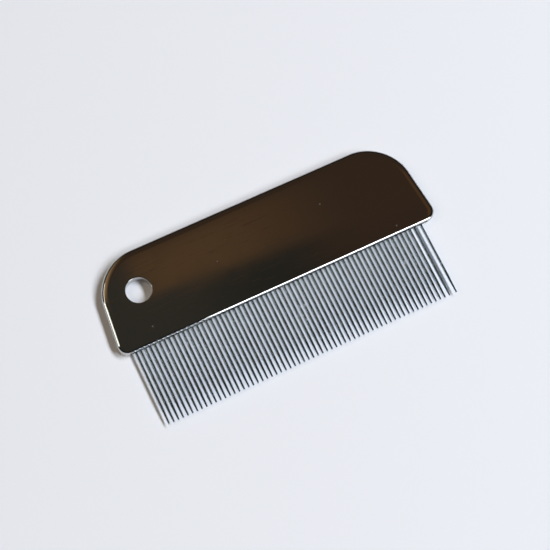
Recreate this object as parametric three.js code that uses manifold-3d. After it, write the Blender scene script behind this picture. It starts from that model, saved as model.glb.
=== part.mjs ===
// Flea comb: a folded sheet-metal back that clamps one row of fine round wire teeth.
//
// Frame: millimetres, +X along the comb, -Y where the teeth point, +Z up. The comb lies flat on Z = 0, and the
// origin is the middle of the underside of the whole comb's box.

import * as THREE from 'three';
import { mergeVertices } from 'three/addons/utils/BufferGeometryUtils.js';
import Module from 'manifold-3d';

// Back, measured with the lip line at y = 0.
const LIP_LENGTH = 80.8; // along the lip line, where the lines of the two ends meet it
const BACK_WIDTH = 22.45; // lip to fold
const BACK_THICKNESS = 2.8;
const SHEET = 0.5;
const END_SLANT = THREE.MathUtils.degToRad(6); // the ends lean in towards the fold
const FOLD_CORNER_RADIUS = 11;
const LIP_CORNER_RADIUS = 2.5;
const ROLLED_EDGE_RADIUS = 0.85; // outside radius of the fold, of the rolled ends and of the curled-in lips
const SLOT_LENGTH = 75.2; // opening between the lips
const SLOT_HEIGHT = 0.8;

// Hang hole, its rim drawn through from one wall to the other.
const HOLE_RADIUS = 3;
const HOLE_FROM_LEFT = 10.14; // hole centre to the left end of the lip line
const HOLE_FROM_FOLD = 9.7;

// Teeth.
const HAIRPIN_COUNT = 31;
const TOOTH_PITCH = 1.16;
const FIRST_TOOTH_X = -36.84;
const END_TOOTH_GAP = 1.77; // the last tooth stands a little further from its neighbour
const TOOTH_REACH = 18.25; // lip to tip
const WIRE_RADIUS = 0.33;
const TIP_RADIUS = 0.19;
const TIP_FLAT_RADIUS = 0.12;
const TAPER_LENGTH = 4.7;
const BEND_START = 7.3; // where the legs of a hairpin turn, behind the lip line
const WIRE_SIDES = 8;
const BEND_STEPS = 4;

// Clamp strips.
const STRIP_LENGTH = 75.6;
const STRIP_FRONT = 0.9; // behind the lip line, clear of the curled lips
const STRIP_REAR = 7;
const STRIP_PARTING = 0.1; // gap between the two strips' faces
const FIT = 0.02; // clearance between touching pieces

const MIDDLE = BACK_THICKNESS / 2; // height of the teeth
const OVERRUN = 1; // how far a cutter runs past what it cuts
const ARC_SEGMENTS = 5; // half the facets of a rounded corner
const EDGE_SEGMENTS = 3; // facets of a rounded edge

const wasm = await Module();
wasm.setup();

const plated = { color: 0x8d8b88, roughness: 0.08, metalness: 1 };
const polishedSteel = { color: 0xb9bcc0, roughness: 0.16, metalness: 1 };
const bareSteel = { color: 0x85888c, roughness: 0.45, metalness: 1 };

// A closed three.js geometry as a solid for joining and cutting.
function toSolid(geometry) {
  const bare = geometry.clone();
  bare.deleteAttribute('normal');
  bare.deleteAttribute('uv');
  const merged = mergeVertices(bare);
  return new wasm.Manifold(new wasm.Mesh({
    numProp: 3,
    vertProperties: new Float32Array(merged.attributes.position.array),
    triVerts: new Uint32Array(merged.index.array),
  }));
}

// A solid back as a geometry.
function toGeometry(solid) {
  const mesh = solid.getMesh();
  const geometry = new THREE.BufferGeometry();
  geometry.setAttribute('position', new THREE.BufferAttribute(mesh.vertProperties, 3));
  geometry.setIndex(new THREE.BufferAttribute(mesh.triVerts, 1));
  geometry.computeVertexNormals();
  return geometry;
}

// A closed outline round corners [x, y, radius], counter-clockwise, each corner rounded by an arc.
function roundedOutline(corners) {
  const shape = new THREE.Shape();
  corners.forEach(([x, y, radius], index) => {
    const corner = new THREE.Vector2(x, y);
    const [beforeX, beforeY] = corners.at(index - 1);
    const [afterX, afterY] = corners[(index + 1) % corners.length];
    const back = new THREE.Vector2(beforeX, beforeY).sub(corner).normalize();
    const ahead = new THREE.Vector2(afterX, afterY).sub(corner).normalize();
    const halfAngle = Math.acos(back.dot(ahead)) / 2;
    const centre = back.clone().add(ahead).setLength(radius / Math.sin(halfAngle)).add(corner);
    const start = back.clone().setLength(radius / Math.tan(halfAngle)).add(corner).sub(centre);
    const end = ahead.clone().setLength(radius / Math.tan(halfAngle)).add(corner).sub(centre);
    shape.absarc(centre.x, centre.y, radius, start.angle(), end.angle(), false);
  });
  return shape;
}

// A slab on the given outline, from bottom to top, with its upper and lower edges rounded inside the outline.
function slab(outline, bottom, top, edgeRadius) {
  const geometry = new THREE.ExtrudeGeometry(outline, {
    depth: top - bottom - 2 * edgeRadius,
    bevelThickness: edgeRadius,
    bevelSize: edgeRadius,
    bevelOffset: -edgeRadius,
    bevelSegments: EDGE_SEGMENTS,
    curveSegments: ARC_SEGMENTS,
  });
  return toSolid(geometry.translate(0, 0, bottom + edgeRadius));
}

// A box between two corners.
function block(low, high) {
  const size = high.map((value, axis) => value - low[axis]);
  const centre = high.map((value, axis) => (value + low[axis]) / 2);
  return toSolid(new THREE.BoxGeometry(...size).translate(...centre));
}

// Half the length of the back at a height y behind the lip line, measured inset from the end's surface.
function halfLength(y, inset) {
  return LIP_LENGTH / 2 - y * Math.tan(END_SLANT) - inset / Math.cos(END_SLANT);
}

// The back's outline, inset all round.
function backOutline(inset) {
  const rear = BACK_WIDTH - inset;
  const lipCornerRadius = LIP_CORNER_RADIUS - inset;
  const foldCornerRadius = FOLD_CORNER_RADIUS - inset;
  return roundedOutline([
    [-halfLength(inset, inset), inset, lipCornerRadius],
    [halfLength(inset, inset), inset, lipCornerRadius],
    [halfLength(rear, inset), rear, foldCornerRadius],
    [-halfLength(rear, inset), rear, foldCornerRadius],
  ]);
}

// A round bar upright through the back at the hang hole.
function holeBar(radius) {
  const height = BACK_THICKNESS + 2 * OVERRUN;
  const bar = new THREE.CylinderGeometry(radius, radius, height, 32);
  bar.rotateX(Math.PI / 2);
  bar.translate(HOLE_FROM_LEFT - LIP_LENGTH / 2, BACK_WIDTH - HOLE_FROM_FOLD, MIDDLE);
  return toSolid(bar);
}

// The folded back: a slab rolled over all round, hollow, with a slot between the curled lips, and its hole.
function backShell() {
  const rolled = slab(backOutline(0), 0, BACK_THICKNESS, ROLLED_EDGE_RADIUS);
  const hollow = slab(backOutline(SHEET), SHEET, BACK_THICKNESS - SHEET, ROLLED_EDGE_RADIUS - SHEET);
  const slot = block(
    [-SLOT_LENGTH / 2, -OVERRUN, MIDDLE - SLOT_HEIGHT / 2],
    [SLOT_LENGTH / 2, SHEET + OVERRUN, MIDDLE + SLOT_HEIGHT / 2],
  );
  const inside = hollow.add(slot).subtract(holeBar(HOLE_RADIUS + SHEET));
  return toGeometry(rolled.subtract(inside).subtract(holeBar(HOLE_RADIUS)));
}

// The places of all the teeth along the comb.
function toothPlaces() {
  const places = [];
  for (let index = 0; index < 2 * HAIRPIN_COUNT; index += 1) {
    places.push(FIRST_TOOTH_X + index * TOOTH_PITCH);
  }
  places.push(places.at(-1) + END_TOOTH_GAP);
  return places;
}

// One straight tooth on the line x, with a tapered, blunt tip, ending behind the lip line at y = rear.
function tooth(x, rear) {
  const profile = [
    [0, -TOOTH_REACH],
    [TIP_FLAT_RADIUS, -TOOTH_REACH],
    [TIP_RADIUS, TIP_FLAT_RADIUS - TOOTH_REACH],
    [WIRE_RADIUS, TAPER_LENGTH - TOOTH_REACH],
    [WIRE_RADIUS, rear],
    [0, rear],
  ].map(([radius, y]) => new THREE.Vector2(radius, y));
  return new THREE.LatheGeometry(profile, WIRE_SIDES).translate(x, 0, 0);
}

// The half turn between the two legs of a hairpin.
class HalfTurn extends THREE.Curve {
  getPoint(t, target = new THREE.Vector3()) {
    const radius = TOOTH_PITCH / 2;
    return target.set(radius * Math.cos(Math.PI * t), BEND_START + radius * Math.sin(Math.PI * t), 0);
  }
}

// One wire bent double: two teeth and the bend that joins them. The bend is a hair thinner than the legs, as bent
// wire is, and starts inside them.
function hairpin() {
  const section = new THREE.Shape();
  const radius = WIRE_RADIUS - FIT;
  for (let side = 0; side < WIRE_SIDES; side += 1) {
    const angle = (2 * Math.PI * side) / WIRE_SIDES;
    const point = [radius * Math.cos(angle), radius * Math.sin(angle)];
    if (side === 0) {
      section.moveTo(...point);
    } else {
      section.lineTo(...point);
    }
  }
  const bend = new THREE.ExtrudeGeometry(section, { steps: BEND_STEPS, extrudePath: new HalfTurn() });
  const legRear = BEND_START + WIRE_RADIUS / 2;
  const left = toSolid(tooth(-TOOTH_PITCH / 2, legRear));
  const right = toSolid(tooth(TOOTH_PITCH / 2, legRear));
  return toGeometry(toSolid(bend).add(left).add(right));
}

// A clamp strip lying under the teeth, seen from its end: flat below, with one half-round groove for each tooth.
function clampStrip() {
  const half = STRIP_LENGTH / 2;
  const floor = SHEET + FIT - MIDDLE;
  const face = -STRIP_PARTING / 2;
  const grooveRadius = WIRE_RADIUS + FIT;
  const grooveHalf = Math.sqrt(grooveRadius ** 2 - face ** 2);
  const startAngle = Math.atan2(face, grooveHalf);
  const section = new THREE.Shape();
  section.moveTo(-half, face);
  section.lineTo(-half, floor);
  section.lineTo(half, floor);
  section.lineTo(half, face);
  toothPlaces().reverse().forEach((x) => {
    section.lineTo(x + grooveHalf, face);
    section.absarc(x, 0, grooveRadius, startAngle, -Math.PI - startAngle, true);
  });
  const depth = STRIP_REAR - STRIP_FRONT;
  const geometry = new THREE.ExtrudeGeometry(section, { depth, bevelEnabled: false, curveSegments: 2 });
  return geometry.rotateX(Math.PI / 2).translate(0, STRIP_REAR, 0);
}

const comb = new THREE.Group();
const lipFrame = new THREE.Group(); // its y = 0 is the lip line
lipFrame.position.y = (TOOTH_REACH - BACK_WIDTH) / 2;
comb.add(lipFrame);

// Adds one named piece to the comb.
function addPiece(name, geometry, finish) {
  const mesh = new THREE.Mesh(geometry, new THREE.MeshStandardMaterial(finish));
  mesh.name = name;
  lipFrame.add(mesh);
  return mesh;
}

addPiece('back_shell', backShell(), plated);

const lowerStrip = addPiece('lower_clamp_strip', clampStrip(), bareSteel);
lowerStrip.position.z = MIDDLE;

const upperStrip = addPiece('upper_clamp_strip', clampStrip().rotateX(Math.PI).translate(0, STRIP_FRONT + STRIP_REAR, 0),
  bareSteel);
upperStrip.position.z = MIDDLE;

const places = toothPlaces();
for (let index = 0; index < HAIRPIN_COUNT; index += 1) {
  const number = String(index + 1).padStart(2, '0');
  const wire = addPiece(`hairpin_teeth_${number}`, hairpin(), polishedSteel);
  wire.position.set(places[2 * index] + TOOTH_PITCH / 2, 0, MIDDLE);
}

const endTooth = addPiece('end_tooth', tooth(0, BEND_START), polishedSteel);
endTooth.position.set(places.at(-1), 0, MIDDLE);

export default comb;
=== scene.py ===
"""Flea comb: a folded, mirror-plated back that clamps a row of fine round wire teeth, lying on a pale table.

All sizes in the classes are millimetres. Blender works in metres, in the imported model's frame: +X along the
comb, -Y where the teeth point, +Z up, with the comb flat on Z = 0.
"""

import logging
import math
from dataclasses import dataclass
from enum import Enum
from typing import Callable, Optional

import bmesh
import bpy
from mathutils import Matrix, Vector

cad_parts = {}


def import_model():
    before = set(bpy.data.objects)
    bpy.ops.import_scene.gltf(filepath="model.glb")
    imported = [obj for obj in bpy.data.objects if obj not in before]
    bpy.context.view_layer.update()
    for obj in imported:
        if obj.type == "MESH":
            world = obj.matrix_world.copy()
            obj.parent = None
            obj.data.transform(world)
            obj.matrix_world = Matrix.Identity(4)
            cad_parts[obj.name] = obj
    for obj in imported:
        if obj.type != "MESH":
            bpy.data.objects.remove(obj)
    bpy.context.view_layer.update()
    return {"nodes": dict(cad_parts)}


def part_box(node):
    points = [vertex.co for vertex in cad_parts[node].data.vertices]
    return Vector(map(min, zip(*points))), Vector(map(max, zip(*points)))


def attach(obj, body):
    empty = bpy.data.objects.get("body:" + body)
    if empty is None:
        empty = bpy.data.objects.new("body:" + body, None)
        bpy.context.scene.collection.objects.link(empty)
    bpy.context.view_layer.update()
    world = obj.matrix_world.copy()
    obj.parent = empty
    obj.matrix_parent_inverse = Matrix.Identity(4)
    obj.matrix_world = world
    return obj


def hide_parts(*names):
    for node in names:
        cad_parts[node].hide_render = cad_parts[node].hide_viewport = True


LOG = logging.getLogger("flea_comb")
MM = 0.001
BODY = "root"
NEAR = 2e-6  # metres; closer than this counts as the same place
FLAT = 0.9999  # a face whose normal has this much of a direction lies square to it
NEARLY_FLAT = 0.99  # the same, but a crowned wall counts too
STEEP = 0.5  # a face with less of Z than this in its normal belongs to the comb's edge
UPRIGHT = Vector((0, 0, 1))

Socket = bpy.types.NodeSocket
Span = tuple[float, float]


class Slot(Enum):
    """Material slots of the record, named here but not used by the script."""

    BRIGHT_PLATE = "bright_plate"
    TOOTH_WIRE = "tooth_wire"


class Node(Enum):
    """CAD nodes that this script names."""

    BACK = "back_shell"
    LOWER_STRIP = "lower_clamp_strip"
    UPPER_STRIP = "upper_clamp_strip"
    FIRST_WIRE = "hairpin_teeth_01"
    END_TOOTH = "end_tooth"


# --------------------------------------------------------------------------------------------------
# Small helpers
# --------------------------------------------------------------------------------------------------


def linear(hex_colour: str) -> tuple[float, float, float, float]:
    """Turns an sRGB hex colour into linear RGBA.

    Args:
        hex_colour: six hex digits, with or without a leading #.

    Returns:
        The linear red, green, blue and an alpha of 1.
    """
    digits = hex_colour.lstrip("#")
    channels = [int(digits[start : start + 2], 16) / 255 for start in (0, 2, 4)]
    curve = [c / 12.92 if c <= 0.04045 else ((c + 0.055) / 1.055) ** 2.4 for c in channels]
    return curve[0], curve[1], curve[2], 1.0


def add_node(
    tree: bpy.types.NodeTree,
    kind: str,
    settings: Optional[dict] = None,
    links: Optional[dict] = None,
) -> bpy.types.Node:
    """Adds one shader node with its settings and links.

    Args:
        tree: the node tree that takes the node.
        kind: the node's type name.
        settings: values by property name, or by socket name or number.
        links: output sockets by the name or number of the input that each one feeds.

    Returns:
        The new node.
    """
    node = tree.nodes.new(kind)
    for key, value in (settings or {}).items():
        if isinstance(key, str) and hasattr(node, key):
            setattr(node, key, value)
        else:
            node.inputs[key].default_value = value
    for key, socket in (links or {}).items():
        tree.links.new(socket, node.inputs[key])
    return node


def blend(tree: bpy.types.NodeTree, amount: Socket, first: str | Socket, second: str | Socket) -> Socket:
    """Mixes two colours.

    Args:
        tree: the node tree.
        amount: 0 gives the first colour, 1 the second.
        first: a hex colour or a colour output.
        second: a hex colour or a colour output.

    Returns:
        The mixed colour.
    """
    node = add_node(tree, "ShaderNodeMix", {"data_type": "RGBA"}, {0: amount})
    for socket, colour in ((6, first), (7, second)):  # A and B of a colour mix
        if isinstance(colour, str):
            node.inputs[socket].default_value = linear(colour)
        else:
            tree.links.new(colour, node.inputs[socket])
    return node.outputs[2]


def deselect_all() -> None:
    """Leaves no object selected."""
    bpy.ops.object.select_all(action="DESELECT")


def activate(piece: bpy.types.Object) -> None:
    """Makes one object the only selected and the active one."""
    deselect_all()
    piece.select_set(True)
    bpy.context.view_layer.objects.active = piece


def apply_place(piece: bpy.types.Object) -> None:
    """Moves an object's place, turn and scale into its mesh."""
    activate(piece)
    bpy.ops.object.transform_apply(location=True, rotation=True, scale=True)


def apply_modifier(piece: bpy.types.Object, name: str, kind: str, **settings: object) -> None:
    """Adds one modifier and applies it.

    Args:
        piece: the object it works on.
        name: the modifier's name.
        kind: the modifier's type.
        settings: its properties by name.
    """
    activate(piece)
    modifier = piece.modifiers.new(name, kind)
    for key, value in settings.items():
        setattr(modifier, key, value)
    bpy.ops.object.modifier_apply(modifier=name)


def select_parts(piece: bpy.types.Object, mode: str, wanted: Callable[[object], bool]) -> int:
    """Selects a mesh's vertices, edges or faces in edit mode by a rule on each.

    Args:
        piece: the active object, in edit mode.
        mode: VERT, EDGE or FACE.
        wanted: says of one bmesh element whether it is selected.

    Returns:
        How many elements were selected.
    """
    bpy.ops.mesh.select_mode(type=mode)
    bpy.ops.mesh.select_all(action="DESELECT")
    mesh = bmesh.from_edit_mesh(piece.data)
    elements = {"VERT": mesh.verts, "EDGE": mesh.edges, "FACE": mesh.faces}[mode]
    chosen = [element for element in elements if wanted(element)]
    for element in chosen:
        element.select_set(True)
    mesh.select_flush_mode()
    bmesh.update_edit_mesh(piece.data)
    return len(chosen)


def round_off(setback: float, segments: int) -> None:
    """Rounds the selected edges of the object in edit mode.

    Args:
        setback: how far from the edge the round begins, in millimetres.
        segments: how many facets it has.
    """
    bpy.ops.mesh.bevel(offset=setback * MM, offset_type="OFFSET", segments=segments, profile=0.5)


def weld() -> None:
    """Joins the doubled vertices of the object in edit mode, turns its normals out and leaves edit mode."""
    bpy.ops.mesh.select_all(action="SELECT")
    bpy.ops.mesh.remove_doubles(threshold=NEAR)
    bpy.ops.mesh.normals_make_consistent(inside=False)
    bpy.ops.object.mode_set(mode="OBJECT")


def own_copy(source: bpy.types.Object, name: str, shift: Vector) -> bpy.types.Object:
    """Copies a piece with its own mesh, moved inside the mesh.

    Args:
        source: the piece to copy.
        name: the copy's name.
        shift: how far it moves, in metres.

    Returns:
        The copy.
    """
    copy = source.copy()
    copy.data = source.data.copy()
    copy.name = name
    copy.data.name = name
    copy.data.transform(Matrix.Translation(shift))
    bpy.context.collection.objects.link(copy)
    return copy


def dress(piece: bpy.types.Object, material: bpy.types.Material) -> None:
    """Gives a piece one material all over."""
    piece.data.materials.clear()
    piece.data.materials.append(material)


# --------------------------------------------------------------------------------------------------
# Finishes
# --------------------------------------------------------------------------------------------------


def new_surface(name: str) -> tuple[bpy.types.Material, bpy.types.NodeTree, bpy.types.Node, Socket]:
    """Starts a material.

    Args:
        name: the material's name.

    Returns:
        The material, its tree, its Principled shader and the Object coordinates' output.
    """
    material = bpy.data.materials.new(name)
    material.use_nodes = True
    tree = material.node_tree
    shader = tree.nodes["Principled BSDF"]
    place = add_node(tree, "ShaderNodeTexCoord")
    return material, tree, shader, place.outputs["Object"]


def noise(tree: bpy.types.NodeTree, place: Socket, size: float, **settings: float) -> Socket:
    """Adds an even noise.

    Args:
        tree: the material's tree.
        place: the Object coordinates.
        size: the typical size of its blotches, in millimetres.
        settings: the noise's other inputs by name.

    Returns:
        The noise's value.
    """
    node = add_node(tree, "ShaderNodeTexNoise", {"Scale": 1 / (size * MM), **settings}, {"Vector": place})
    return node.outputs["Fac"]


def line_noise(
    tree: bpy.types.NodeTree, place: Socket, grain: tuple[float, float, float], turn_deg: float = 0.0,
    **settings: float,
) -> Socket:
    """Adds a noise that is drawn out into lines.

    Args:
        tree: the material's tree.
        place: the Object coordinates.
        grain: a line's typical size along X, Y and Z, in millimetres.
        turn_deg: how far the lines are turned about Z.
        settings: the noise's other inputs by name.

    Returns:
        The noise's value.
    """
    drawn = add_node(
        tree, "ShaderNodeMapping",
        {"Rotation": (0.0, 0.0, math.radians(turn_deg)), "Scale": tuple(1 / (size * MM) for size in grain)},
        {"Vector": place},
    )
    node = add_node(tree, "ShaderNodeTexNoise", {"Scale": 1.0, **settings}, {"Vector": drawn.outputs[0]})
    return node.outputs["Fac"]


def spread(tree: bpy.types.NodeTree, value: Socket, source: Span, target: Span) -> Socket:
    """Maps a value's range onto another range, and stops at both ends.

    Args:
        tree: the material's tree.
        value: the value.
        source: the range that is mapped.
        target: what its two ends become.

    Returns:
        The mapped value.
    """
    settings = dict(zip(("From Min", "From Max", "To Min", "To Max"), (*source, *target)))
    return add_node(tree, "ShaderNodeMapRange", settings, {"Value": value}).outputs["Result"]


def relief(tree: bpy.types.NodeTree, height: Socket, depth: float, under: Optional[Socket] = None) -> Socket:
    """Turns a height into a bump.

    Args:
        tree: the material's tree.
        height: the height, from 0 to 1.
        depth: how deep 1 is, in millimetres.
        under: the normal of a coarser bump below this one.

    Returns:
        The bumped normal.
    """
    links = {"Height": height}
    if under is not None:
        links["Normal"] = under
    node = add_node(tree, "ShaderNodeBump", {"Strength": 1.0, "Distance": depth * MM}, links)
    return node.outputs["Normal"]


@dataclass(frozen=True)
class MirrorPlate:
    """Bright nickel-chrome plate on polished folded sheet.

    It gives the eye a near-perfect mirror, a little wavy where the sheet was pressed, with wiping hairlines,
    faint finger smudges and a few dull specks.
    """

    metal: str = "#C3C1BF"
    roughness: float = 0.035
    smudge_size: float = 9.0
    smudge_roughness: float = 0.03
    smudge_span: Span = (0.45, 0.75)  # the part of the noise from no smudge to a full one
    wave_size: float = 16.0
    wave_height: float = 0.004
    hairline_spacing: float = 0.22
    hairline_length: float = 9.0
    hairline_depth: float = 0.0006
    hairline_turn_deg: float = 14.0
    hairline_span: Span = (0.62, 0.72)  # the part of the noise from whole plate to a full cut
    speck_spacing: float = 4.0
    speck_radius: float = 0.06
    speck_dullness: float = 0.5
    mark_spacing: float = 19.0
    mark_radius: float = 0.3
    mark_dullness: float = 1.0
    dull_roughness: float = 0.3
    dull_film: float = 0.09  # how much of the metal a fully dull spot hides
    dull_core: float = 0.4  # how much of a spot's radius is fully dull

    def material(self) -> bpy.types.Material:
        """Builds the material."""
        material, tree, shader, place = new_surface("mirror_plated_sheet")
        shader.inputs["Base Color"].default_value = linear(self.metal)
        dull = add_node(
            tree, "ShaderNodeMath", {"operation": "MAXIMUM"},
            {
                0: self._spots(tree, place, self.speck_spacing, self.speck_radius, self.speck_dullness),
                1: self._spots(tree, place, self.mark_spacing, self.mark_radius, self.mark_dullness),
            },
        ).outputs[0]
        smudge = noise(tree, place, self.smudge_size, Detail=5.0, Roughness=0.62, Distortion=0.4)
        smudged = (self.roughness, self.roughness + self.smudge_roughness)
        rough = add_node(
            tree, "ShaderNodeMath", {"operation": "MULTIPLY_ADD", 1: self.dull_roughness},
            {0: dull, 2: spread(tree, smudge, self.smudge_span, smudged)},
        )
        bare = add_node(
            tree, "ShaderNodeMath", {"operation": "MULTIPLY_ADD", 1: -self.dull_film, 2: 1.0}, {0: dull}
        )
        tree.links.new(rough.outputs[0], shader.inputs["Roughness"])
        tree.links.new(bare.outputs[0], shader.inputs["Metallic"])
        tree.links.new(self._surface(tree, place), shader.inputs["Normal"])
        return material

    def _surface(self, tree: bpy.types.NodeTree, place: Socket) -> Socket:
        """Waves the sheet and cuts the wiping hairlines.

        Args:
            tree: the material's tree.
            place: the Object coordinates.

        Returns:
            The normal.
        """
        wave = noise(tree, place, self.wave_size, Detail=1.0, Roughness=0.4)
        grain = (self.hairline_length, self.hairline_spacing, self.hairline_length)
        hairline = line_noise(tree, place, grain, self.hairline_turn_deg, Detail=3.0, Roughness=0.7)
        cut = spread(tree, hairline, self.hairline_span, (0.0, 1.0))
        return relief(tree, cut, self.hairline_depth, relief(tree, wave, self.wave_height))

    def _spots(
        self, tree: bpy.types.NodeTree, place: Socket, spacing: float, radius: float, dullness: float
    ) -> Socket:
        """Scatters soft-edged dull spots.

        Args:
            tree: the material's tree.
            place: the Object coordinates.
            spacing: typical distance between spots, in millimetres.
            radius: a spot's radius, in millimetres.
            dullness: the amount at a spot's middle.

        Returns:
            The amount of dullness.
        """
        cells = add_node(
            tree, "ShaderNodeTexVoronoi",
            {"voronoi_dimensions": "2D", "Scale": 1 / (spacing * MM), "Randomness": 1.0}, {"Vector": place},
        )
        rim = radius / spacing
        return spread(tree, cells.outputs["Distance"], (self.dull_core * rim, rim), (dullness, 0.0))


@dataclass(frozen=True)
class PlatedWire:
    """Bright plated drawn steel wire: soft shiny streaks, with drawing lines along it and duller patches."""

    metal: str = "#CFDDEA"
    roughness: float = 0.2
    patch_roughness: float = 0.08
    patch_size: float = 3.0
    patch_span: Span = (0.4, 0.7)  # the part of the noise from bright wire to a full patch
    line_spacing: float = 0.05
    line_length: float = 4.0
    line_depth: float = 0.0004

    def material(self) -> bpy.types.Material:
        """Builds the material."""
        material, tree, shader, place = new_surface("bright_drawn_wire")
        shader.inputs["Metallic"].default_value = 1.0
        shader.inputs["Base Color"].default_value = linear(self.metal)
        patch = noise(tree, place, self.patch_size, Detail=3.0)
        patched = (self.roughness, self.roughness + self.patch_roughness)
        tree.links.new(spread(tree, patch, self.patch_span, patched), shader.inputs["Roughness"])
        grain = (self.line_spacing, self.line_length, self.line_spacing)
        line = line_noise(tree, place, grain, Detail=2.0, Roughness=0.6)
        tree.links.new(relief(tree, line, self.line_depth), shader.inputs["Normal"])
        return material


@dataclass(frozen=True)
class RolledStrip:
    """Bare cold-rolled steel strip: satin grey, with rolling lines along the strip."""

    metal: str = "#8C8B8B"
    dark_line: str = "#757474"
    roughness: float = 0.38
    roughness_swing: float = 0.08
    swing_span: Span = (0.3, 0.7)  # the part of the noise from the shiniest line to the dullest
    line_spacing: float = 0.06
    line_length: float = 12.0
    line_depth: float = 0.002

    def material(self) -> bpy.types.Material:
        """Builds the material."""
        material, tree, shader, place = new_surface("rolled_steel_strip")
        shader.inputs["Metallic"].default_value = 1.0
        grain = (self.line_length, self.line_spacing, self.line_spacing)
        line = line_noise(tree, place, grain, Detail=3.0, Roughness=0.6)
        tree.links.new(blend(tree, line, self.dark_line, self.metal), shader.inputs["Base Color"])
        swing = (self.roughness - self.roughness_swing, self.roughness + self.roughness_swing)
        tree.links.new(spread(tree, line, self.swing_span, swing), shader.inputs["Roughness"])
        tree.links.new(relief(tree, line, self.line_depth), shader.inputs["Normal"])
        return material


@dataclass(frozen=True)
class PaleTable:
    """Smooth matt painted table top, a cool near-white."""

    paint: str = "#EEF1F7"
    roughness: float = 0.9
    specular: float = 0.1

    def material(self) -> bpy.types.Material:
        """Builds the material."""
        material, _, shader, _ = new_surface("pale_table")
        shader.inputs["Base Color"].default_value = linear(self.paint)
        shader.inputs["Roughness"].default_value = self.roughness
        shader.inputs["Specular IOR Level"].default_value = self.specular
        return material


# --------------------------------------------------------------------------------------------------
# The comb
# --------------------------------------------------------------------------------------------------


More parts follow.
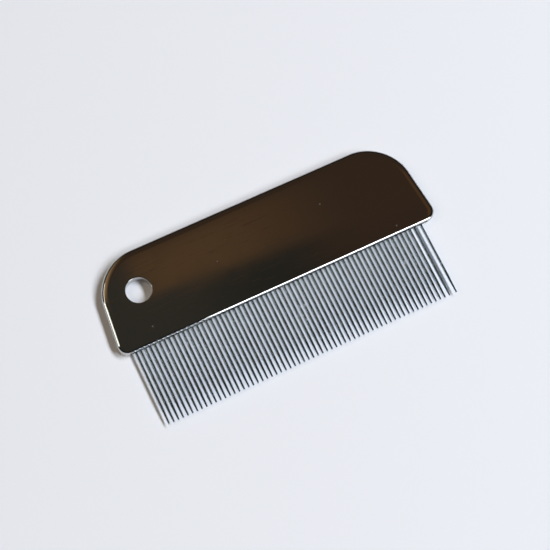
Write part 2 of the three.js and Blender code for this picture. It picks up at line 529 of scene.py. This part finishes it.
@dataclass
class FoldedBack:
    """The folded sheet back: two walls rolled over all round, a slot between the curled lips, a hang hole."""

    lip_length: float = 80.8
    sheet: float = 0.5
    end_slant_deg: float = 6.0
    fold_corner_radius: float = 11.0
    lip_corner_radius: float = 2.5
    rolled_edge_radius: float = 0.85
    crown_width: float = 1.75  # from the outer edge
    crown_drop: float = 0.06  # at the outer edge, before it is rolled
    slot_margin: float = 0.09
    slot_edge_radius: float = 0.06
    slot_edge_segments: int = 3
    hole_radius: float = 3.0
    hole_reach: float = 1.2  # in hole radii; what lies closer to its middle belongs to the hole
    hole_from_left: float = 10.14
    hole_from_fold: float = 9.7
    hole_sides: int = 96
    hole_edge_radius: float = 0.18
    hole_edge_segments: int = 4
    corner_segments: int = 32
    edge_segments: int = 10
    smooth_angle_deg: float = 35.0

    def __post_init__(self) -> None:
        """Reads the back's box from the frame, in metres."""
        low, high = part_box(Node.BACK.value)
        self.lip_y = low[1]
        self.fold_y = high[1]
        self.top_z = high[2]
        hole_x = (self.hole_from_left - self.lip_length / 2) * MM
        self.hole = Vector((hole_x, self.fold_y - self.hole_from_fold * MM, self.top_z / 2))

    def build(self, finish: MirrorPlate) -> bpy.types.Object:
        """Builds and dresses the back.

        Args:
            finish: the plate on it.

        Returns:
            The finished piece, which stands for the CAD node.
        """
        piece = self._blank()
        self._punch(piece)
        self._crown(piece)
        self._roll(piece)
        self._open_slot(piece)
        apply_modifier(
            piece, "sheet", "SOLIDIFY", thickness=self.sheet * MM, offset=-1.0, use_even_offset=True
        )
        self._round_slot(piece)
        activate(piece)
        bpy.ops.object.shade_smooth_by_angle(angle=math.radians(self.smooth_angle_deg))
        self._flatten_walls(piece)
        dress(piece, finish.material())
        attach(piece, BODY)
        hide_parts(Node.BACK.value)
        LOG.info("%s: %d faces", piece.name, len(piece.data.polygons))
        return piece

    def _blank(self) -> bpy.types.Object:
        """Makes the solid blank with slanted ends and rounded corners.

        Returns:
            The blank.
        """
        deselect_all()
        width = self.fold_y - self.lip_y
        middle = (0, (self.fold_y + self.lip_y) / 2, self.top_z / 2)
        bpy.ops.mesh.primitive_cube_add(size=1, location=middle)
        piece = bpy.context.object
        piece.name = "folded_back"
        piece.data.name = "folded_back"
        piece.scale = (self.lip_length * MM, width, self.top_z)
        apply_place(piece)
        bpy.ops.object.mode_set(mode="EDIT")
        slant = math.radians(self.end_slant_deg)
        narrowing = 1 - 2 * width * math.tan(slant) / (self.lip_length * MM)
        select_parts(piece, "VERT", lambda v: v.co.y > middle[1])
        bpy.ops.transform.resize(value=(narrowing, 1, 1), center_override=(0, 0, 0))
        self._round_corners(piece, self.fold_y, self.fold_corner_radius, math.pi / 2 + slant)
        self._round_corners(piece, self.lip_y, self.lip_corner_radius, math.pi / 2 - slant)
        bpy.ops.object.mode_set(mode="OBJECT")
        return piece

    def _round_corners(self, piece: bpy.types.Object, y: float, radius: float, corner_angle: float) -> None:
        """Rounds the two upright edges at one y.

        Args:
            piece: the blank, in edit mode.
            y: where the edges stand, in metres.
            radius: the arc's radius, in millimetres.
            corner_angle: the angle inside the corner.
        """

        def upright(edge: bmesh.types.BMEdge) -> bool:
            """True for an upright edge at y."""
            first, second = (v.co for v in edge.verts)
            return abs(first.y - y) < NEAR and abs(second.y - y) < NEAR and abs(first.x - second.x) < NEAR

        select_parts(piece, "EDGE", upright)
        round_off(radius / math.tan(corner_angle / 2), self.corner_segments)

    def _punch(self, piece: bpy.types.Object) -> None:
        """Punches the hang hole through the blank."""
        deselect_all()
        bpy.ops.mesh.primitive_cylinder_add(
            vertices=self.hole_sides, radius=self.hole_radius * MM, depth=3 * self.top_z, location=self.hole
        )
        punch = bpy.context.object
        apply_modifier(piece, "hang_hole", "BOOLEAN", operation="DIFFERENCE", object=punch, solver="EXACT")
        bpy.data.objects.remove(punch)

    def _at_hole(self, place: Vector) -> bool:
        """True for a place on the hang hole's rim."""
        return (place - self.hole).xy.length < self.hole_reach * self.hole_radius * MM

    def _crown(self, piece: bpy.types.Object) -> None:
        """Lets both flat walls fall away a little towards the outer edge, as a pressed sheet does."""
        activate(piece)
        bpy.ops.object.mode_set(mode="EDIT")
        for side, height in ((1, self.top_z), (-1, 0.0)):
            select_parts(piece, "FACE", lambda f: f.normal.z * side > FLAT)
            bpy.ops.mesh.inset(thickness=self.crown_width * MM, depth=0.0, use_even_offset=True)

            def rim(vertex: bmesh.types.BMVert) -> bool:
                """True on the outer rim of this wall."""
                level = abs(vertex.co.z - height) < NEAR
                return level and not self._at_hole(vertex.co) and any(
                    abs(face.normal.z) < STEEP for face in vertex.link_faces
                )

            select_parts(piece, "VERT", rim)
            bpy.ops.transform.translate(value=(0, 0, -side * self.crown_drop * MM))
        bpy.ops.object.mode_set(mode="OBJECT")

    def _roll(self, piece: bpy.types.Object) -> None:
        """Rolls the outer edges over and eases the hole's edges."""
        activate(piece)
        bpy.ops.object.mode_set(mode="EDIT")

        def rim(edge: bmesh.types.BMEdge) -> bool:
            """True for an edge between a flat wall and an upright one."""
            if len(edge.link_faces) != 2:
                return False
            flatness = sorted(abs(face.normal.z) for face in edge.link_faces)
            return flatness[0] < 1 - NEARLY_FLAT and flatness[1] > NEARLY_FLAT

        def at_hole(edge: bmesh.types.BMEdge) -> bool:
            """True for an edge of the hang hole."""
            return all(self._at_hole(v.co) for v in edge.verts)

        select_parts(piece, "EDGE", lambda e: rim(e) and not at_hole(e))
        round_off(self.rolled_edge_radius, self.edge_segments)
        select_parts(piece, "EDGE", lambda e: rim(e) and at_hole(e))
        round_off(self.hole_edge_radius, self.hole_edge_segments)
        weld()

    def _open_slot(self, piece: bpy.types.Object) -> None:
        """Opens the slot between the lips."""
        activate(piece)
        bpy.ops.object.mode_set(mode="EDIT")

        def lip_wall(face: bmesh.types.BMFace) -> bool:
            """True for the flat face between the two rolled lips."""
            return face.normal.y < -FLAT and abs(face.calc_center_median().y - self.lip_y) < NEAR

        select_parts(piece, "FACE", lip_wall)
        bpy.ops.mesh.inset(thickness=self.slot_margin * MM, depth=0.0, use_even_offset=True)
        bpy.ops.mesh.delete(type="FACE")
        bpy.ops.object.mode_set(mode="OBJECT")

    def _round_slot(self, piece: bpy.types.Object) -> None:
        """Rounds the outer edge of the sheet all round the slot."""
        activate(piece)
        bpy.ops.object.mode_set(mode="EDIT")
        slot_top = self.top_z - (self.crown_drop + self.rolled_edge_radius + self.slot_margin) * MM
        reach = slot_top - self.top_z / 2 + NEAR

        def slot_edge(edge: bmesh.types.BMEdge) -> bool:
            """True for an edge of the slot on the outside."""
            return all(
                abs(v.co.y - self.lip_y) < NEAR and abs(v.co.z - self.top_z / 2) < reach for v in edge.verts
            )

        count = select_parts(piece, "EDGE", slot_edge)
        round_off(self.slot_edge_radius, self.slot_edge_segments)
        LOG.info("slot: %d edges rounded", count)
        bpy.ops.object.mode_set(mode="OBJECT")

    def _flatten_walls(self, piece: bpy.types.Object) -> None:
        """Keeps the flat walls' shading flat right up to the rounded edges."""
        bpy.ops.object.mode_set(mode="EDIT")
        select_parts(piece, "FACE", lambda f: abs(f.normal.z) > FLAT)
        bpy.ops.mesh.set_normals_from_faces(keep_sharp=True)
        bpy.ops.object.mode_set(mode="OBJECT")


@dataclass
class ToothRow:
    """The row of wire teeth: wires bent double, and a single pin at the far end."""

    hairpins: int = 31
    pitch: float = 1.16
    wire_radius: float = 0.33
    tip_radius: float = 0.19
    tip_round: float = 0.8  # how much of the tip's radius is rounded off
    tip_segments: int = 4
    tip_ring: float = 0.25  # where the taper's even run ends before the rounded tip
    taper_length: float = 4.7
    bend_start: float = 7.3  # behind the lip line
    sides: int = 16
    bend_steps: int = 12
    smooth_angle_deg: float = 50.0

    def __post_init__(self) -> None:
        """Reads the row's place from the frame, in metres."""
        low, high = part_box(Node.FIRST_WIRE.value)
        self.tip_y = low[1]
        self.axis_z = (low[2] + high[2]) / 2
        self.first_x = low[0] + self.wire_radius * MM
        end_low, end_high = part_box(Node.END_TOOTH.value)
        self.end_x = (end_low[0] + end_high[0]) / 2
        self.bend_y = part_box(Node.BACK.value)[0][1] + self.bend_start * MM

    def build(self, finish: PlatedWire) -> list[bpy.types.Object]:
        """Builds and dresses the whole row.

        Args:
            finish: the wire's finish.

        Returns:
            The hairpins from left to right, then the end pin.
        """
        material = finish.material()
        model = self._hairpin()
        dress(model, material)
        pieces = []
        for index in range(self.hairpins):
            number = f"{index + 1:02d}"
            shift = Vector((2 * index * self.pitch * MM, 0, 0))
            wire = own_copy(model, f"wire_pair_{number}", shift)
            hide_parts(f"hairpin_teeth_{number}")
            pieces.append(wire)
        bpy.data.objects.remove(model)
        pin = self._leg("end_pin", self.end_x, closed=True)
        dress(pin, material)
        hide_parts(Node.END_TOOTH.value)
        pieces.append(pin)
        for piece in pieces:
            activate(piece)
            bpy.ops.object.shade_smooth_by_angle(angle=math.radians(self.smooth_angle_deg))
            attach(piece, BODY)
        LOG.info("teeth: %d wires, %d faces each", len(pieces), len(pieces[0].data.polygons))
        return pieces

    def _leg(self, name: str, x: float, closed: bool) -> bpy.types.Object:
        """Makes one straight tooth with a tapered, rounded tip.

        Args:
            name: the object's name.
            x: the tooth's line, in metres.
            closed: whether its hidden end is capped.

        Returns:
            The tooth.
        """
        deselect_all()
        length = self.bend_y - self.tip_y
        bpy.ops.mesh.primitive_cylinder_add(
            vertices=self.sides,
            radius=self.wire_radius * MM,
            depth=length,
            location=(x, (self.bend_y + self.tip_y) / 2, self.axis_z),
            rotation=(math.pi / 2, 0, 0),
        )
        piece = bpy.context.object
        piece.name = name
        piece.data.name = name
        apply_place(piece)
        bpy.ops.object.mode_set(mode="EDIT")
        self._ring(x, self.taper_length)
        middle = (x, self.tip_y, self.axis_z)
        select_parts(piece, "VERT", lambda v: abs(v.co.y - self.tip_y) < NEAR)
        narrowing = self.tip_radius / self.wire_radius
        bpy.ops.transform.resize(value=(narrowing, 1, narrowing), center_override=middle)
        round_off(self.tip_round * self.tip_radius, self.tip_segments)
        self._ring(x, self.tip_ring)
        if not closed:
            select_parts(piece, "FACE", lambda f: f.normal.y > NEARLY_FLAT)
            bpy.ops.mesh.delete(type="FACE")
        bpy.ops.object.mode_set(mode="OBJECT")
        return piece

    def _ring(self, x: float, from_tip: float) -> None:
        """Cuts one ring of vertices round the tooth in edit mode.

        Args:
            x: the tooth's line, in metres.
            from_tip: how far behind the tip the ring lies, in millimetres.
        """
        bpy.ops.mesh.select_all(action="SELECT")
        bpy.ops.mesh.bisect(plane_co=(x, self.tip_y + from_tip * MM, self.axis_z), plane_no=(0, 1, 0))

    def _hairpin(self) -> bpy.types.Object:
        """Makes one wire bent double, with its left leg on the first tooth's line.

        Returns:
            The hairpin.
        """
        piece = self._leg("hairpin", self.first_x, closed=False)
        bpy.ops.object.mode_set(mode="EDIT")
        bpy.ops.mesh.select_all(action="SELECT")
        bpy.ops.mesh.duplicate_move(TRANSFORM_OT_translate={"value": (self.pitch * MM, 0, 0)})
        centre_x = self.first_x + self.pitch * MM / 2

        def right_ring(vertex: bmesh.types.BMVert) -> bool:
            """True on the open end of the right leg."""
            return abs(vertex.co.y - self.bend_y) < NEAR and vertex.co.x > centre_x

        select_parts(piece, "VERT", right_ring)
        bpy.ops.mesh.spin(
            steps=self.bend_steps, angle=math.pi, center=(centre_x, self.bend_y, self.axis_z), axis=(0, 0, 1)
        )
        weld()
        return piece


@dataclass
class ClampStrips:
    """The two grooved strips between the lips, kept from the CAD model."""

    def build(self, finish: RolledStrip, nodes: dict) -> None:
        """Dresses the two strips.

        Args:
            finish: the strips' finish.
            nodes: the frame's objects by node name.
        """
        material = finish.material()
        for node in (Node.LOWER_STRIP, Node.UPPER_STRIP):
            dress(nodes[node.value], material)
            LOG.info("%s: kept from the CAD model", node.value)


# --------------------------------------------------------------------------------------------------
# The studio
# --------------------------------------------------------------------------------------------------


def sky_direction(azimuth_deg: float, elevation_deg: float) -> Vector:
    """A direction in the room.

    Args:
        azimuth_deg: angle from +X towards +Y.
        elevation_deg: angle above the table.

    Returns:
        The unit vector.
    """
    azimuth, elevation = math.radians(azimuth_deg), math.radians(elevation_deg)
    level = math.cos(elevation)
    return Vector((level * math.cos(azimuth), level * math.sin(azimuth), math.sin(elevation)))


class Role(Enum):
    """What a light does: a lamp lights matt surfaces, a card only shows in polished ones."""

    LAMP = "lamp"
    CARD = "card"


@dataclass(frozen=True)
class SoftLight:
    """A rectangular light, given by where it stands and how large it looks from the comb."""

    name: str
    role: Role
    azimuth: float
    elevation: float
    width_deg: float
    height_deg: float
    radiance: float
    colour: str = "#FFFFFF"
    distance: float = 900.0
    slide: float = 0.0  # how far it is then moved along +Y, without turning

    def build(self) -> None:
        """Hangs the light."""
        angles = (self.width_deg, self.height_deg)
        width, height = (2 * self.distance * MM * math.tan(math.radians(angle / 2)) for angle in angles)
        light = bpy.data.lights.new(self.name, "AREA")
        light.shape = "RECTANGLE"
        light.size = width
        light.size_y = height
        light.energy = self.radiance * math.pi * width * height
        light.color = linear(self.colour)[:3]
        lamp = bpy.data.objects.new(self.name, light)
        towards = sky_direction(self.azimuth, self.elevation)
        lamp.location = towards * self.distance * MM + Vector((0, self.slide * MM, 0))
        lamp.rotation_euler = towards.to_track_quat("Z", "Y").to_euler()
        lamp.visible_glossy = self.role is Role.CARD
        lamp.visible_diffuse = self.role is Role.LAMP
        bpy.context.collection.objects.link(lamp)


@dataclass(frozen=True)
class DimRoom:
    """The room that the polished plate mirrors: a dim ceiling above dark walls.

    Its parts are placed by the slopes of a direction from the comb: along is X / Z and across is Y / Z. Each
    Span is where one part fades into the next.
    """

    brightness: float = 1.85  # makes up for what the plate absorbs
    lowest_z: float = 0.05  # keeps the slopes finite at the horizon
    # A brown ceiling beyond an edge that leans with along, which gives the plate's warm upper half.
    edge_lean: float = 0.08
    edge: Span = (0.2915, 0.299)
    edge_left_end: Span = (0.088, 0.108)
    brown: str = "#473523"
    brown_far: str = "#30241B"
    brown_fade: Span = (0.14, 0.25)
    # A nearly black ceiling before that edge, which gives the plate's lower half.
    black: str = "#2A2823"
    black_far: str = "#21201C"
    black_fade: Span = (0.10, 0.18)
    right_end: str = "#2E231B"
    right_end_fade: Span = (0.18, 0.24)
    # The band that the crown at the fold picks up.
    fold_band: str = "#2E231A"
    fold_band_fade: Span = (0.306, 0.325)
    # A warmer band that the crown at the right end picks up.
    right_band: str = "#43301F"
    right_band_start: Span = (0.295, 0.33)
    right_band_end: Span = (0.46, 0.40)
    right_band_top: Span = (0.335, 0.305)
    # A lit tan wall that shows as a crescent at the left rear corner.
    lit_wall: str = "#7D6546"
    lit_wall_along: Span = (0.074, -0.05)
    lit_wall_lean: float = 0.29
    lit_wall_start: Span = (0.29, 0.36)
    wall: str = "#141617"
    wall_top: Span = (0.66, 0.76)

    def paint(self) -> None:
        """Paints the world."""
        world = bpy.data.worlds.new("room")
        bpy.context.scene.world = world
        world.use_nodes = True
        tree = world.node_tree
        tree.nodes.clear()
        place = add_node(tree, "ShaderNodeTexCoord")
        split = add_node(tree, "ShaderNodeSeparateXYZ", {}, {0: place.outputs["Generated"]})
        height = self._maths(tree, "MAXIMUM", split.outputs["Z"], self.lowest_z)
        along = self._maths(tree, "DIVIDE", split.outputs["X"], height)
        across = self._maths(tree, "DIVIDE", split.outputs["Y"], height)
        ceiling = self._ceiling(tree, along, across)
        colour = blend(tree, self._rise(tree, split.outputs["Z"], self.wall_top), self.wall, ceiling)
        glow = add_node(tree, "ShaderNodeBackground", {"Strength": self.brightness}, {"Color": colour})
        output = add_node(tree, "ShaderNodeOutputWorld")
        tree.links.new(glow.outputs[0], output.inputs["Surface"])

    def _ceiling(self, tree: bpy.types.NodeTree, along: Socket, across: Socket) -> Socket:
        """Paints the ceiling.

        Args:
            tree: the world's tree.
            along: a direction's slope along the comb.
            across: a direction's slope across the comb.

        Returns:
            The ceiling's colour.
        """

        def rise(source: Socket, span: Span) -> Socket:
            """A smooth rise over a span."""
            return self._rise(tree, source, span)

        def both(first: Socket, second: Socket) -> Socket:
            """The product of two amounts."""
            return self._maths(tree, "MULTIPLY", first, second)

        edge = self._maths(tree, "MULTIPLY_ADD", along, self.edge_lean, across)
        beyond = both(rise(edge, self.edge), rise(along, self.edge_left_end))
        brown = blend(tree, rise(along, self.brown_fade), self.brown, self.brown_far)
        black = blend(tree, rise(along, self.black_fade), self.black, self.black_far)
        black = blend(tree, rise(along, self.right_end_fade), black, self.right_end)
        ceiling = blend(tree, beyond, black, brown)
        ceiling = blend(tree, rise(across, self.fold_band_fade), ceiling, self.fold_band)
        band = both(rise(along, self.right_band_start), rise(along, self.right_band_end))
        band = both(band, rise(across, self.right_band_top))
        ceiling = blend(tree, band, ceiling, self.right_band)
        corner = self._maths(tree, "MULTIPLY_ADD", along, self.lit_wall_lean, across)
        lit = both(rise(along, self.lit_wall_along), rise(corner, self.lit_wall_start))
        return blend(tree, lit, ceiling, self.lit_wall)

    @staticmethod
    def _maths(tree: bpy.types.NodeTree, operation: str, *terms: float | Socket) -> Socket:
        """Adds one calculation.

        Args:
            tree: the world's tree.
            operation: the Math node's operation.
            terms: its inputs in order, each a number or an output.

        Returns:
            The result.
        """
        node = add_node(tree, "ShaderNodeMath", {"operation": operation})
        for index, term in enumerate(terms):
            if isinstance(term, float):
                node.inputs[index].default_value = term
            else:
                tree.links.new(term, node.inputs[index])
        return node.outputs[0]

    @staticmethod
    def _rise(tree: bpy.types.NodeTree, source: Socket, span: Span) -> Socket:
        """Adds a smooth rise from 0 at a span's start to 1 at its end.

        Args:
            tree: the world's tree.
            source: the slope or height that it follows.
            span: the start and the end.

        Returns:
            The amount.
        """
        settings = {"interpolation_type": "SMOOTHSTEP", "From Min": span[0], "From Max": span[1]}
        return add_node(tree, "ShaderNodeMapRange", settings, {"Value": source}).outputs["Result"]


@dataclass
class Studio:
    """Table, lights, the dim room that the metal reflects, and the camera."""

    table_size: float = 4000.0
    lights: tuple[SoftLight, ...] = (
        # Cool daylight from the right, and a weak warm fill from the left that sets the tone of the shadows.
        SoftLight(
            "window", Role.LAMP, azimuth=0.0, elevation=55.5, width_deg=56.0, height_deg=12.0, radiance=19.4,
            colour="#F6FAFF", distance=1650.0, slide=-600.0,
        ),
        SoftLight(
            "fill", Role.LAMP, azimuth=160.0, elevation=50.0, width_deg=30.0, height_deg=30.0, radiance=2.1,
            colour="#FFEBD2", distance=1500.0,
        ),
        # The white lines along the lip and along the left end.
        SoftLight(
            "lip_card", Role.CARD, azimuth=-69.0, elevation=9.5, width_deg=30.0, height_deg=18.0,
            radiance=10.0, colour="#F4FBFF",
        ),
        SoftLight(
            "left_card", Role.CARD, azimuth=156.0, elevation=30.0, width_deg=10.0, height_deg=24.0,
            radiance=2.6, colour="#FBFFF4",
        ),
        SoftLight(
            "left_card_end", Role.CARD, azimuth=137.0, elevation=52.0, width_deg=22.0, height_deg=8.0,
            radiance=2.4, colour="#FBFFF4",
        ),
    )
    camera_lens: float = 111.56
    camera_sensor: float = 36.0
    camera_near: float = 10.0
    camera_far: float = 20000.0
    camera_azimuth: float = 33.77
    camera_elevation: float = 72.22
    camera_roll: float = 8.33
    camera_distance: float = 391.0
    aim: tuple[float, float, float] = (-0.34, 1.1, 1.4)

    def build(self) -> None:
        """Builds the whole studio."""
        bpy.context.scene.view_settings.view_transform = "Standard"
        self._table()
        for light in self.lights:
            light.build()
        DimRoom().paint()
        self._camera()

    def _table(self) -> None:
        """Lays the table under the comb."""
        deselect_all()
        bpy.ops.mesh.primitive_plane_add(size=self.table_size * MM)
        table = bpy.context.object
        table.name = "table_top"
        dress(table, PaleTable().material())

    def _camera(self) -> None:
        """Sets the camera."""
        data = bpy.data.cameras.new("camera")
        data.lens = self.camera_lens
        data.sensor_width = self.camera_sensor
        data.clip_start = self.camera_near * MM
        data.clip_end = self.camera_far * MM
        camera = bpy.data.objects.new("camera", data)
        forward = -sky_direction(-90 - self.camera_azimuth, self.camera_elevation)
        right = forward.cross(UPRIGHT).normalized()
        up = right.cross(forward)
        turn = Matrix((right, up, -forward)).transposed().to_4x4()
        roll = Matrix.Rotation(math.radians(self.camera_roll), 4, "Z")
        location = Vector(self.aim) * MM - forward * self.camera_distance * MM
        camera.matrix_world = Matrix.Translation(location) @ turn @ roll
        bpy.context.collection.objects.link(camera)
        bpy.context.scene.camera = camera


def main() -> None:
    """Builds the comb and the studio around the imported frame."""
    logging.basicConfig(level=logging.INFO, format="%(message)s")
    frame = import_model()
    Studio().build()
    FoldedBack().build(MirrorPlate())
    ToothRow().build(PlatedWire())
    ClampStrips().build(RolledStrip(), frame["nodes"])


if __name__ == "__main__":
    main()
